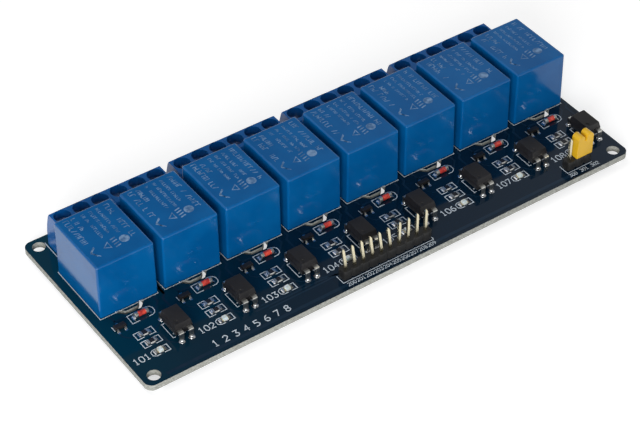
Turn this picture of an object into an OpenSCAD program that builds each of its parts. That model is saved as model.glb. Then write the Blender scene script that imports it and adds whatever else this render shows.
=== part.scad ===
// Relay module board: a row of sealed relays on one circuit board, each with its own
// driver stage in front of it and three screw terminals behind it. X runs along the
// board, Y from the input header to the terminals, Z up. The origin is under the
// middle of the board, level with the trimmed ends of the soldered leads.

/* [Board] */
// Number of relay channels
channels = 8; // [2:2:8]
// Thickness of the board laminate
board_t = 1.6; // [1:0.1:2.4]
// Corner radius of the board
board_r = 2; // [0.5:0.5:3]
// Board left of the first relay
margin_left = 2.3; // [2:0.1:6]
// Board right of the last relay
margin_right = 1.5; // [1.2:0.1:6]
// Board behind the terminals
margin_rear = 3.35; // [2:0.05:8]
// Board in front of the relays, which holds the driver stages and the headers
front_strip = 24.15; // [24:0.05:32]
// Diameter of the mounting holes
mount_d = 3.2; // [2.2:0.1:3.6]
// Mounting hole centres from the short edges
mount_inset_x = 3; // [2.6:0.1:4]
// Mounting hole centres from the long edges
mount_inset_y = 2.75; // [2.6:0.05:4]
// Width of the milled slot round each common pin
slot_w = 1; // [0.6:0.1:1.4]
// Length of the leads below the board
tail_h = 1.6; // [1:0.1:3]

/* [Relay] */
// Spacing of the relays along the board
relay_pitch = 17; // [16:0.1:22]
// Width of a relay, along the board
relay_w = 15.2; // [15:0.1:20]
// Length of a relay, across the board
relay_l = 19; // [18.6:0.1:24]
// Height of a relay above the board
relay_h = 15.4; // [15.2:0.1:20]
// Wall of the relay case
case_wall = 0.6; // [0.4:0.05:0.9]
// Roof of the relay case
case_roof = 0.8; // [0.5:0.05:1]
// Taper of the case on each side, from foot to roof
case_draft = 0.15; // [0:0.05:0.3]
// Radius of the case's edges
case_r = 0.5; // [0.2:0.05:0.8]
// Gap under the relay, made by its feet
foot_h = 0.3; // [0.1:0.05:0.6]
// Thickness of the relay's base plate
base_t = 1.4; // [1:0.1:2]
// Diameter of the coil winding
coil_d = 9; // [6:0.1:10]
// Height of the coil winding
coil_h = 6.2; // [4:0.1:6.6]
// Diameter of the iron core
core_d = 3.6; // [2:0.1:4.6]
// Thickness of the yoke and the armature
iron_t = 1; // [0.6:0.05:1.2]
// Swing of the armature between its two contacts
armature_swing = 3; // [1:0.1:3.4]

/* [Terminals] */
// Ways in one terminal block
block_ways = 3; // [2:1:3]
// Spacing of the ways
way_pitch = 5; // [5:0.05:5.4]
// Depth of a terminal block, across the board
block_d = 7.6; // [7.4:0.1:10]
// Height of a terminal block
block_h = 10.5; // [10:0.1:13]
// Spacing of the pairs of blocks along the board
pair_pitch = 32.4; // [32:0.1:40]
// Gap between the relays and the terminal blocks
block_gap = 1.9; // [0.5:0.1:6]
// Diameter of the terminal screw's head
screw_head_d = 3.7; // [3:0.1:3.9]
// Diameter of the terminal screw's thread
screw_d = 2.5; // [2:0.1:2.8]

/* [Driver stage] */
// Width of an optocoupler, along the board
opto_w = 4.6; // [4:0.1:5]
// Length of an optocoupler, across the board
opto_l = 6.4; // [6:0.1:6.8]
// Height of an optocoupler's top above the board
opto_h = 4.2; // [3.6:0.1:5]
// Spacing of the optocoupler's two rows of leads
opto_rows = 8.5; // [7.6:0.1:9]
// Length of a chip resistor
chip_l = 2; // [1.6:0.1:2.4]
// Width of a chip resistor
chip_w = 1.25; // [0.8:0.05:1.5]
// Length of a diode with its end caps
diode_l = 3.5; // [3:0.1:4]
// Diameter of a diode's end caps
diode_d = 1.5; // [1.2:0.1:1.8]

/* [Headers] */
// Spacing of the header pins
pin_pitch = 2.54; // [2.5:0.01:2.6]
// Side of a square header pin
pin_w = 0.64; // [0.5:0.01:0.7]
// Height of a header pin's tip above the board
pin_top = 9; // [7:0.1:12]
// Header pins' row from the front edge of the board
pin_edge = 3.9; // [3:0.1:6]
// Pins at the left end of the input header that lean over
leaning_pins = 6; // [0:1:6]
// Angle at which those pins lean
lean_angle = 8; // [0:0.5:10]
// Width of the jumper cap, over two pins
jumper_w = 4.8; // [4.7:0.05:5.06]
// Depth of the jumper cap
jumper_d = 2.4; // [2.2:0.05:2.5]

/* [Hidden] */
$fn = 32;
fine_fn = 24;                 // facets of the balls inside a hull
touch = 0.02;                 // clearance of a tight fit, each side
clear = 0.05;                 // clearance of a loose fit, each side
eps = 0.01;                   // how far a cutter runs past a face

board_top = tail_h + board_t;
relay_row = (channels - 1)*relay_pitch + relay_w;
board_l = margin_left + relay_row + margin_right;
board_w = front_strip + relay_l + block_gap + block_d + margin_rear;
front_edge = -board_w/2;
rear_edge = board_w/2;
relay_front = front_edge + front_strip;
block_front = rear_edge - margin_rear - block_d;

// relay pins, from the middle of the relay's front face
com_y = 2.1;
coil_pin_x = 6;
coil_pin_y = 4.1;
contact_pin_y = 16.3;
com_pin = [1, 0.5];
coil_pin = [0.6, 0.6];
contact_pin = [1, 0.4];
pin_slack = 0.1;

// inside of the case
in_x = relay_w/2 - case_wall - case_draft;
in_y0 = case_wall + case_draft;
in_y1 = relay_l - case_wall - case_draft;
in_top = relay_h - case_roof;
base_z = foot_h + base_t;

// magnet: yoke, core, bobbin and winding, stacked up from the base
yoke_y = com_y - iron_t/2;
yoke_w = 9;
flange_t = 0.7;
flange_z = base_z + iron_t;
wind_z = flange_z + flange_t;
top_flange_z = wind_z + coil_h;
pole_z = top_flange_z + flange_t;
pole_t = 0.65;
pole_d = 6.4;
flange_l = coil_d + 1.2;
tube_wall = 0.6;
coil_y = yoke_y + iron_t + 0.1 + flange_l/2;
spigot_d = 2.6;
hinge_z = pole_z + pole_t + clear;

// armature, its leaf and the contacts, measured with the armature pulled in
arm_z = hinge_z + clear;
arm_w = 9.6;
arm_end = coil_y + pole_d/2 + 1.6;
leaf_t = 0.2;
leaf_w = 4.4;
tip_w = 2.6;
button_r = 1;
button_y = contact_pin_y - 0.1;
button_t = 1;
button_z = arm_z + iron_t + leaf_t/2 - button_t/2;
button_rise = (button_y + button_r - yoke_y)*sin(armature_swing);
blade_t = 0.4;
arm_t = 0.4;
no_top = button_z - clear;
nc_bottom = hinge_z + (button_z + button_t - hinge_z)*cos(armature_swing)
    + button_rise + clear;
rivet_t = 0.4;

// terminal blocks
block_l = block_ways*way_pitch;
block_skin = 0.02;
block_shift = -0.2;           // the blocks' row from the middle of the board
screw_y = 3.8;
chamber = [4, 4.7, 5.5];
chamber_y = 1.5;
chamber_z = 0.8;
deck_t = 0.6;
well_z = chamber_z + chamber[2] + deck_t;
well_d = screw_head_d + 0.4;
head_h = 1.4;
entry = [3.2, 3.2];
entry_z = 1.5;
leg_t = 0.5;
leg_y = chamber_y + 0.1;
cage = [3.8, 3.8, 5.1];
cage_y = leg_y + leg_t + 0.15;
cage_z = chamber_z + 0.1;
cage_wall = 0.6;
cage_roof = 0.8;
bar_t = 0.6;
bar_z = cage_z + cage[2] - cage_roof - bar_t - 0.1;
block_pin = [1, leg_t];
rail_y = 0.85;
rail = [0.3, 0.5, 0.6];       // half widths at root and tip, and height

// driver stage, from the middle of the relay's front face
opto_at = [4.95, -11.9];
opto_stand = 0.9;
opto_seat = 0.35;              // where its leads narrow, above the board
opto_lead = [0.5, 0.25];
transistor_at = [-5.4, -4.65];
diode_at = [0.65, -3.9];
diode_cap = 0.75;
resistor_at = [[-1.85, -9.25], [-1.85, -12.35]];
led_at = [-1.8, -15.85];

// headers
header_gap = 0.3;
header_h = 2.54;
header_top = header_gap + header_h;
header_d = 2.5;
pin_y = front_edge + pin_edge;
input_pins = channels + 2;
input_x = -2.45;
power_pins = 3;
power_x = board_l/2 - 13.75;
clip_d = pin_w + 2*touch + 0.3;
clip_w = pin_pitch + pin_w + 2*touch + 0.36;
jumper_z = header_top + clear;
jumper_h = pin_top - jumper_z + 0.34;
notch_h = 1.75;               // depth of the notch between the cap's ears
clip_z = 0.6;
clip_h = jumper_h - notch_h - clip_z - 0.5;
jumper_x = power_x + pin_pitch/2;

function relay_x(i) = -board_l/2 + margin_left + relay_w/2 + i*relay_pitch;
function block_x(i) = block_shift + (floor(i/2) - (channels/2 - 1)/2)*pair_pitch
    - block_l + (i % 2)*block_l;
function way_x(i, j) = block_x(i) + (j + 0.5)*way_pitch;
function input_pin_x(j) = input_x + (j - (input_pins - 1)/2)*pin_pitch;
function power_pin_x(j) = power_x + (j - (power_pins - 1)/2)*pin_pitch;

// every lead that goes through the board: [x, y, width, depth]
all = [0:channels - 1];
relay_leads = [for (i = all) let (x = relay_x(i), y = relay_front) each [
    [x, y + com_y, com_pin[0], com_pin[1]],
    for (s = [-1, 1]) [x + s*coil_pin_x, y + coil_pin_y, coil_pin[0], coil_pin[1]],
    for (s = [-1, 1]) [x + s*coil_pin_x, y + contact_pin_y, contact_pin[0], contact_pin[1]]]];
block_leads = [for (i = all, j = [0:block_ways - 1])
    [way_x(i, j), block_front + leg_y + leg_t/2, block_pin[0], block_pin[1]]];
opto_leads = [for (i = all, s = [-1, 1], t = [-1, 1])
    [relay_x(i) + opto_at[0] + s*pin_pitch/2, relay_front + opto_at[1] + t*opto_rows/2,
        opto_lead[0], opto_lead[1]]];
pin_leads = concat(
    [for (j = [0:input_pins - 1]) [input_pin_x(j), pin_y, pin_w, pin_w]],
    [for (j = [0:power_pins - 1]) [power_pin_x(j), pin_y, pin_w, pin_w]]);
leads = concat(relay_leads, block_leads, opto_leads, pin_leads);

// ---- shared shapes ----

// a box given by its size, centred in X and Y, standing on Z
module block(size) translate([-size[0]/2, -size[1]/2, 0]) cube(size);

// a box between two corners
module span(a, b) translate(a) cube(b - a);

// a profile drawn in Y and Z, pulled along X to the given width, centred
module profile_x(width) translate([-width/2, 0, 0]) rotate([90, 0, 90])
    linear_extrude(width) children();

// a profile drawn in X and Z, pulled along Y to the given depth, centred
module profile_y(depth) translate([0, depth/2, 0]) rotate([90, 0, 0])
    linear_extrude(depth) children();

// a moulded body whose four sides lean in above and below a parting band
module moulded(w, d, z0, band0, band1, z1, lean) {
    module side(h) polygon([[-h + lean, z0], [h - lean, z0], [h, band0], [h, band1],
        [h - lean, z1], [-h + lean, z1], [-h, band1], [-h, band0]]);
    intersection() {
        profile_x(w + 1) side(d/2);
        profile_y(d + 1) side(w/2);
    }
}

// a rounded rectangle from one corner at the origin
module rounded(l, w, r) union() {
    translate([r, 0]) square([l - 2*r, w]);
    translate([0, r]) square([l, w - 2*r]);
    for (x = [r, l - r], y = [r, w - r]) translate([x, y]) circle(r);
}

module at_relay(i) translate([relay_x(i), relay_front, board_top]) children();
module at_relays() for (i = all) at_relay(i) children();
module at_block(i) translate([block_x(i), block_front, board_top]) children();
module at_ways() for (i = all) at_block(i)
    for (j = [0:block_ways - 1]) translate([(j + 0.5)*way_pitch, 0, 0]) children();

// ---- board ----

// the milled slot: across the front of the common pin and back along both sides of it
module isolation_slot() {
    half = 3.2;
    nose = 1.75;
    path = [[-half, 7], [-half, 0.2], [-nose, -1.3], [nose, -1.3], [half, 0.2], [half, 7]];
    for (k = [0:len(path) - 2]) let (a = path[k], b = path[k + 1], v = b - a)
        translate(a) rotate(atan2(v[1], v[0])) translate([0, -slot_w/2]) square([norm(v), slot_w]);
    for (p = path) translate(p) circle(d = slot_w);
}

module pcb() color([0.06, 0.13, 0.2]) translate([0, 0, tail_h]) difference() {
    linear_extrude(board_t) difference() {
        translate([-board_l/2, front_edge]) rounded(board_l, board_w, board_r);
        for (i = all) translate([relay_x(i), relay_front]) isolation_slot();
    }
    for (s = [-1, 1], t = [-1, 1])
        translate([s*(board_l/2 - mount_inset_x), t*(board_w/2 - mount_inset_y), -eps])
            cylinder(d = mount_d, h = board_t + 2*eps);
    for (p = leads) translate([p[0], p[1], -eps])
        cylinder(d = norm([p[2], p[3]]) + 0.25, h = board_t + 2*eps);
}

// ---- relays, with local Y from the front face and local Z from the board ----

module relay_case(i) color([0.02, 0.3, 0.58]) at_relay(i) difference() {
    hull() {
        for (s = [-1, 1], y = [case_r, relay_l - case_r])
            translate([s*(relay_w/2 - case_r), y, foot_h]) cylinder(r = case_r, h = eps);
        for (s = [-1, 1], y = [case_r + case_draft, relay_l - case_r - case_draft])
            translate([s*(relay_w/2 - case_r - case_draft), y, relay_h - case_r*cos(180/fine_fn)])
                sphere(case_r, $fn = fine_fn);
    }
    span([-in_x, in_y0, foot_h - eps], [in_x, in_y1, in_top]);
    // mark left by the mould's gate
    translate([-0.1, 0.3, 7.2]) rotate([90, 0, 0]) cylinder(d = 1, h = 1);
}

module pin_hole(x, y, pin) translate([x, y, -eps])
    block([pin[0] + 2*pin_slack, pin[1] + 2*pin_slack, base_z + 2*eps]);

module relay_bases() color([0.1, 0.1, 0.1]) at_relays() difference() {
    union() {
        span([-in_x + clear, in_y0 + clear, foot_h], [in_x - clear, in_y1 - clear, base_z]);
        // feet at the corners
        for (s = [-1, 1], y = [in_y0 + 1, in_y1 - 1]) translate([s*(in_x - 1), y, 0])
            block([1.2, 1.2, foot_h + eps]);
        // wall between the coil and the contacts
        span([-in_x + 0.8, arm_end + 0.7, base_z - eps], [in_x - 0.8, arm_end + 1.3, hinge_z - 2.4]);
        // ledges that the two contact blades stand against
        for (s = [-1, 1]) translate([s*(coil_pin_x - 0.5), contact_pin_y - 0.9, base_z - eps])
            block([2, 1, 2]);
    }
    pin_hole(0, com_y, com_pin);
    for (s = [-1, 1]) {
        pin_hole(s*coil_pin_x, coil_pin_y, coil_pin);
        pin_hole(s*coil_pin_x, contact_pin_y, contact_pin);
    }
}

module relay_yokes() color([0.7, 0.7, 0.68]) at_relays() difference() {
    union() {
        // bent plate: a foot under the coil and a leg up to the hinge edge
        profile_x(yoke_w - 1) union() {
            translate([yoke_y + iron_t, base_z])
                square([coil_y + 3 - yoke_y - iron_t, iron_t]);
            intersection() {
                translate([yoke_y + iron_t, base_z + iron_t]) circle(iron_t);
                translate([yoke_y, base_z]) square(iron_t);
            }
        }
        span([-yoke_w/2, yoke_y, base_z + iron_t], [yoke_w/2, yoke_y + iron_t, hinge_z]);
        // common pin
        translate([0, com_y, -board_top]) block([com_pin[0], com_pin[1], board_top + base_z + iron_t/2]);
    }
    translate([0, coil_y, 0]) cylinder(d = spigot_d, h = hinge_z);
}

module relay_cores() color([0.72, 0.72, 0.7]) at_relays() translate([0, coil_y, 0]) {
    translate([0, 0, base_z + touch]) cylinder(d = spigot_d - 2*touch, h = iron_t);
    translate([0, 0, flange_z]) cylinder(d = core_d, h = pole_z - flange_z + eps);
    translate([0, 0, pole_z]) cylinder(d = pole_d, h = pole_t);
}

module relay_bobbins() color([0.12, 0.12, 0.12]) at_relays() translate([0, coil_y, 0]) difference() {
    union() {
        translate([0, 0, flange_z]) block([flange_l, flange_l, flange_t]);
        translate([0, 0, top_flange_z]) block([flange_l, flange_l, flange_t]);
        translate([0, 0, flange_z]) cylinder(d = core_d + 2*(clear + tube_wall), h = pole_z - flange_z);
        // ears that hold the coil pins
        for (s = [-1, 1]) translate([s*coil_pin_x, coil_pin_y - coil_y, flange_z])
            block([1.4, 1.4, flange_t]);
        for (s = [-1, 1]) translate([s*(coil_pin_x - 0.7), coil_pin_y - coil_y, flange_z])
            block([1.6, 1.4, flange_t]);
    }
    translate([0, 0, flange_z - eps]) cylinder(d = core_d + 2*clear, h = pole_z - flange_z + 2*eps);
    for (s = [-1, 1]) translate([s*coil_pin_x, coil_pin_y - coil_y, flange_z - eps])
        block([coil_pin[0] + 2*touch, coil_pin[1] + 2*touch, flange_t + 2*eps]);
}

module relay_windings() color([0.75, 0.35, 0.12]) at_relays() translate([0, coil_y, wind_z + touch])
    difference() {
        cylinder(d = coil_d, h = coil_h - 2*touch);
        translate([0, 0, -eps])
            cylinder(d = core_d + 2*(2*clear + tube_wall), h = coil_h + 2*eps);
    }

module relay_coil_pins() color([0.8, 0.8, 0.76]) at_relays()
    for (s = [-1, 1]) translate([s*coil_pin_x, coil_pin_y, -board_top])
        block([coil_pin[0], coil_pin[1], board_top + flange_z + flange_t + 1]);

// pin and blade of one fixed contact, with an arm at the given height that reaches
// across to the button
module contact_blade(s, arm_at) {
    inner = coil_pin_x - contact_pin[0]/2 - 1;
    outer = coil_pin_x + contact_pin[0]/2;
    translate([s*coil_pin_x, contact_pin_y, -board_top])
        block([contact_pin[0], contact_pin[1], board_top + base_z + eps]);
    translate([s*(inner + outer)/2, contact_pin_y, base_z])
        block([outer - inner, blade_t, arm_at + arm_t - base_z]);
    translate([s*(outer - button_r)/2, button_y, arm_at])
        block([outer + button_r, 2.2, arm_t]);
}

// fixed contacts: the one under the moving button makes, the one above it breaks
module relay_contacts() color([0.8, 0.6, 0.3]) at_relays() {
    union() {
        contact_blade(1, no_top - rivet_t - arm_t);
        translate([0, button_y, no_top - rivet_t - eps]) cylinder(r = button_r, h = rivet_t + eps);
    }
    union() {
        contact_blade(-1, nc_bottom + rivet_t);
        translate([0, button_y, nc_bottom]) cylinder(r = button_r, h = rivet_t + eps);
    }
}

// fixed end of the leaf, riveted to the back of the yoke's leg
module relay_hinge_springs() color([0.85, 0.6, 0.35]) at_relays() {
    span([-leaf_w/2, yoke_y - leaf_t, base_z + 2], [leaf_w/2, yoke_y, hinge_z - 0.2]);
    for (x = [-1.2, 1.2]) translate([x, yoke_y - leaf_t + eps, base_z + 4]) rotate([90, 0, 0])
        cylinder(d = 1.2, h = 0.25);
}

// armature plate with its leaf and moving button, let go: swung up off the pole
module relay_armature(i) color([0.7, 0.7, 0.68]) at_relay(i)
    translate([0, yoke_y, hinge_z]) rotate([armature_swing, 0, 0]) translate([0, -yoke_y, -hinge_z]) {
        leaf_z = arm_z + iron_t;
        // iron plate, waisted at the hinge
        translate([0, 0, arm_z]) linear_extrude(iron_t) for (k = [0, 1]) mirror([k, 0])
            polygon([[-eps, yoke_y], [arm_w/2 - 1, yoke_y], [arm_w/2 - 1, yoke_y + 1.4],
                [arm_w/2, yoke_y + 2.2], [arm_w/2, arm_end - 1], [arm_w/2 - 1, arm_end],
                [-eps, arm_end]]);
        // leaf spring, with the button's hole
        difference() {
            translate([0, 0, leaf_z]) linear_extrude(leaf_t) polygon([
                [-leaf_w/2, yoke_y + 0.1], [leaf_w/2, yoke_y + 0.1], [leaf_w/2, arm_end - 1],
                [tip_w/2, arm_end + 1], [tip_w/2, button_y + 1.3], [-tip_w/2, button_y + 1.3],
                [-tip_w/2, arm_end + 1], [-leaf_w/2, arm_end - 1]]);
            translate([0, button_y, 0]) cylinder(r = button_r*0.6, h = leaf_z + 1);
        }
        // moving button, riveted through the leaf
        union() {
            translate([0, button_y, button_z]) cylinder(r = button_r, h = leaf_z - button_z);
            translate([0, button_y, button_z]) cylinder(r = button_r*0.6 - touch, h = button_t);
            translate([0, button_y, leaf_z + leaf_t])
                cylinder(r = button_r, h = button_z + button_t - leaf_z - leaf_t);
        }
        // rivets that join the leaf to the plate
        for (y = [yoke_y + 3, arm_end - 2.4]) translate([0, y, leaf_z + leaf_t]) cylinder(d = 1.6, h = 0.3);
    }

// ---- terminals, with local X from the block's left end and local Y from the relay side ----

module terminal_block(i) color([0.02, 0.27, 0.56]) at_block(i) difference() {
    union() {
        translate([block_l/2, 0, 0]) profile_x(block_l - 2*block_skin)
            polygon([[0, 0], [block_d, 0], [block_d, 0.42*block_h], [block_d - 0.45, 0.65*block_h],
                [block_d - 1.2, block_h - 0.9], [block_d - 1.7, block_h], [0.5, block_h],
                [0, block_h - 0.5]]);
        // dovetail rail that slides into the next block
        translate([block_l - block_skin - eps, rail_y, 0]) linear_extrude(block_h - 1.2)
            polygon([[0, -rail[0]], [rail[2], -rail[1]], [rail[2], rail[1]], [0, rail[0]]]);
    }
    // dovetail groove
    translate([block_skin - eps, rail_y, -eps]) linear_extrude(block_h - 1.2 + 2*clear)
        polygon([[-eps, -rail[0] - clear], [rail[2] + clear, -rail[1] - clear],
            [rail[2] + clear, rail[1] + clear], [-eps, rail[0] + clear]]);
    for (j = [0:block_ways - 1]) translate([(j + 0.5)*way_pitch, 0, 0]) {
        translate([0, chamber_y + chamber[1]/2, chamber_z]) block(chamber);
        translate([0, screw_y, well_z]) cylinder(d = well_d, h = block_h);
        translate([0, screw_y, chamber_z]) cylinder(d = screw_d + 0.4, h = block_h);
        // wire entry with its lead-in
        span([-entry[0]/2, chamber_y, entry_z], [entry[0]/2, block_d + 1, entry_z + entry[1]]);
        span([-entry[0]/2 - 0.3, block_d - 0.4, entry_z - 0.3],
            [entry[0]/2 + 0.3, block_d + 1, entry_z + entry[1] + 0.3]);
        // slot for the pin
        translate([0, leg_y + leg_t/2, -eps])
            block([block_pin[0] + 0.4, block_pin[1] + 0.2, chamber_z + 2*eps]);
    }
}

// slotted screws, each stopped at its own angle
module terminal_screws() color([0.78, 0.79, 0.8]) for (i = all, j = [0:block_ways - 1])
    at_block(i) translate([(j + 0.5)*way_pitch, screw_y, 0]) rotate((47*i + 71*j) % 180)
        difference() {
            union() {
                translate([0, 0, well_z + clear]) cylinder(d = screw_head_d, h = head_h);
                translate([0, 0, bar_z + bar_t + touch])
                    cylinder(d = screw_d, h = well_z + clear - bar_z - bar_t);
            }
            translate([0, 0, well_z + clear + head_h - 0.7]) block([screw_head_d + 1, 0.6, 1]);
        }

module terminal_clamps() color([0.75, 0.76, 0.72]) at_ways() difference() {
    translate([0, cage_y + cage[1]/2, cage_z]) block(cage);
    translate([0, cage_y + cage[1]/2, cage_z + cage_wall])
        block([cage[0] - 2*cage_wall, cage[1] + 2*eps, cage[2] - cage_wall - cage_roof]);
    translate([0, screw_y, cage_z + cage_wall]) cylinder(d = screw_d + 2*clear, h = cage[2]);
}

module terminal_pins() color([0.82, 0.82, 0.78]) at_ways() union() {
    span([-1.2, leg_y, bar_z], [1.2, cage_y + cage[1] - 0.1, bar_z + bar_t]);
    span([-1.2, leg_y, chamber_z + 0.1], [1.2, leg_y + leg_t, bar_z + eps]);
    translate([0, leg_y + leg_t/2, -board_top])
        block([block_pin[0], block_pin[1], board_top + chamber_z + 0.2]);
}

// ---- driver stages ----

module optocoupler(i) color([0.12, 0.12, 0.13]) at_relay(i) translate(opto_at) difference() {
    mid = (opto_stand + opto_h)/2;
    moulded(opto_w, opto_l, opto_stand, mid - 0.15, mid + 0.15, opto_h, 0.35);
    translate([-opto_w/2 + 1.2, -opto_l/2 + 1.2, opto_h - 0.12]) cylinder(d = 1, h = 1);
}

module optocoupler_leads() color([0.8, 0.81, 0.8]) at_relays() translate(opto_at) {
    mid = (opto_stand + opto_h)/2;
    t = opto_lead[1];
    knee = opto_rows/2 + t/2;
    for (s = [-1, 1], k = [0, 180]) rotate(k) translate([s*pin_pitch/2, 0, 0]) union() {
        // shoulder out of the body, bent down
        profile_x(1.2) union() {
            translate([opto_l/2, mid - t/2]) square([knee - 2*t - opto_l/2, t]);
            translate([knee - t, opto_seat]) square([t, mid - 1.5*t - opto_seat]);
            intersection() {
                difference() {
                    translate([knee - 2*t, mid - 1.5*t]) circle(2*t);
                    translate([knee - 2*t, mid - 1.5*t]) circle(t);
                }
                translate([knee - 2*t, mid - 1.5*t]) square(2*t);
            }
        }
        span([-opto_lead[0]/2, knee - t, -board_top], [opto_lead[0]/2, knee, opto_seat + eps]);
    }
}

module transistor_bodies() color([0.12, 0.12, 0.12]) at_relays() translate(transistor_at)
    moulded(2.9, 1.3, 0.08, 0.5, 0.6, 1.08, 0.1);

module transistor_leads() color([0.82, 0.82, 0.8]) at_relays() translate(transistor_at)
    for (p = [[-0.95, 180], [0.95, 180], [0, 0]]) translate([p[0], 0, 0]) rotate(p[1])
        profile_x(0.42) polygon([[0.65, 0.5], [0.85, 0.5], [0.85, 0], [1.25, 0], [1.25, 0.12],
            [0.97, 0.12], [0.97, 0.6], [0.65, 0.6]]);

// a chip with its ends plated: the ceramic, or the two ends, at the origin
module chip_core(h) translate([0, 0, 0.03]) block([chip_l - 0.06, chip_w, h]);
module chip_ends(h) for (s = [-1, 1]) difference() {
    translate([s*(chip_l/2 - 0.2), 0, 0]) block([0.4, chip_w + 0.04, h + 0.06]);
    chip_core(h);
}

module resistor_chips() color([0.15, 0.15, 0.16]) at_relays()
    for (p = resistor_at) translate(p) chip_core(0.45);

module resistor_ends() color([0.8, 0.8, 0.8]) at_relays()
    for (p = resistor_at) translate(p) chip_ends(0.45);

module led_bodies() color([0.9, 0.9, 0.86]) at_relays() translate(led_at) union() {
    chip_core(0.3);
    moulded(chip_l - 0.84, chip_w, 0.32, 0.34, 0.4, 0.85, 0.08);
}

module led_ends() color([0.82, 0.8, 0.7]) at_relays() translate(led_at) chip_ends(0.3);

module along_x() rotate([0, 90, 0]) children();

module diode_glass() color([0.7, 0.12, 0.12]) at_relays()
    translate([diode_at[0], diode_at[1], diode_d/2]) along_x()
        cylinder(d = diode_d - 0.2, h = diode_l - 2*diode_cap, center = true);

// plated caps, domed a little at their outer ends
module diode_ends() color([0.75, 0.75, 0.76]) at_relays()
    translate([diode_at[0], diode_at[1], diode_d/2])
        for (k = [0, 180]) rotate(k) along_x() rotate_extrude()
            polygon([[0, diode_l/2 - diode_cap], [diode_d/2, diode_l/2 - diode_cap],
                [diode_d/2, diode_l/2 - 0.12], [diode_d/2 - 0.15, diode_l/2], [0, diode_l/2]]);

// ---- headers ----

// moulded strip with V notches where it snaps apart
module header_body(pins, x_of) translate([0, pin_y, board_top + header_gap]) difference() {
    a = pin_pitch/2;
    b = header_d/2;
    c = 0.4;
    for (j = [0:pins - 1]) translate([x_of(j), 0, 0]) linear_extrude(header_h)
        polygon([[-a, c - b], [c - a, -b], [a - c, -b], [a, c - b], [a, b - c], [a - c, b],
            [c - a, b], [-a, b - c]]);
    for (j = [0:pins - 1]) translate([x_of(j), 0, -eps])
        block([pin_w + 2*touch, pin_w + 2*touch, header_h + 2*eps]);
}

// the free end of a pin, with its tip chamfered on four sides
module pin_end(h) intersection() {
    profile_x(pin_w) pin_side(h);
    profile_y(pin_w) pin_side(h);
}
module pin_side(h) polygon([[-pin_w/2, 0], [pin_w/2, 0], [pin_w/2, h - 0.5],
    [pin_w/5, h], [-pin_w/5, h], [-pin_w/2, h - 0.5]]);

module header_pin(lean) {
    knee = board_top + header_top + 0.35;
    free = pin_top - header_top - 0.35;
    union() {
        block([pin_w, pin_w, knee]);
        translate([0, 0, knee]) rotate([0, -lean, 0]) pin_end(free);
        translate([0, 0, knee]) rotate([90, 0, 0]) cylinder(d = pin_w, h = pin_w, center = true);
    }
}

module input_header_body() color([0.08, 0.08, 0.08]) header_body(input_pins, function(j) input_pin_x(j));

module input_header_pins() color([0.8, 0.78, 0.66]) for (j = [0:input_pins - 1])
    translate([input_pin_x(j), pin_y, 0]) header_pin(j < leaning_pins ? lean_angle : 0);

module power_header_body() color([0.08, 0.08, 0.08]) header_body(power_pins, function(j) power_pin_x(j));

module power_header_pins() color([0.8, 0.78, 0.66]) for (j = [0:power_pins - 1])
    translate([power_pin_x(j), pin_y, 0]) header_pin(0);

// cap with two round ears, pushed over two pins
module jumper_cap() color([0.93, 0.72, 0.12]) translate([jumper_x, pin_y, board_top + jumper_z])
    difference() {
        ear_r = 1.05;
        ear_z = jumper_h - ear_r;
        profile_y(jumper_d) union() {
            translate([-jumper_w/2, 0]) square([jumper_w, jumper_h - notch_h]);
            for (s = [-1, 1]) translate([s*(jumper_w/2 - ear_r), 0]) union() {
                translate([0, ear_z]) circle(ear_r);
                translate([-ear_r, clip_z]) square([2*ear_r, ear_z - clip_z]);
            }
        }
        translate([0, 0, -eps]) block([clip_w + 2*touch, clip_d + 2*touch, clip_z + clip_h + 0.1]);
        for (s = [-1, 1]) translate([s*pin_pitch/2, 0, 0])
            block([pin_w + 0.3, pin_w + 0.3, pin_top - jumper_z + clear]);
    }

// folded spring that joins the two pins inside the cap
module jumper_clip() color([0.8, 0.68, 0.4]) translate([jumper_x, pin_y, board_top + jumper_z + clip_z])
    difference() {
        grip = pin_w/2 + touch;
        union() {
            for (s = [-1, 1]) translate([s*pin_pitch/2, 0, 0]) block([2*grip + 0.36, clip_d, clip_h]);
            span([-pin_pitch/2, grip, 0.5], [pin_pitch/2, clip_d/2, clip_h - 0.5]);
        }
        for (s = [-1, 1]) translate([s*pin_pitch/2, 0, -eps]) block([2*grip, 2*grip, clip_h + 2*eps]);
    }

// ---- solder on the underside, one fillet round each lead ----

module solder_joints() color([0.75, 0.76, 0.77]) for (p = leads) translate([p[0], p[1], tail_h - 1])
    difference() {
        cylinder(d1 = norm([p[2], p[3]]) + 0.3, d2 = norm([p[2], p[3]]) + 1, h = 1);
        translate([0, 0, -eps]) block([p[2], p[3], 1 + 2*eps]);
    }

pcb();
for (i = all) relay_case(i);
relay_bases();
for (i = all) relay_armature(i);
relay_bobbins();
relay_windings();
relay_cores();
relay_yokes();
relay_contacts();
relay_coil_pins();
relay_hinge_springs();
for (i = all) terminal_block(i);
terminal_screws();
terminal_clamps();
terminal_pins();
for (i = all) optocoupler(i);
optocoupler_leads();
transistor_bodies();
transistor_leads();
resistor_chips();
resistor_ends();
diode_glass();
diode_ends();
led_bodies();
led_ends();
input_header_body();
input_header_pins();
power_header_body();
power_header_pins();
jumper_cap();
jumper_clip();
solder_joints();
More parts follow.
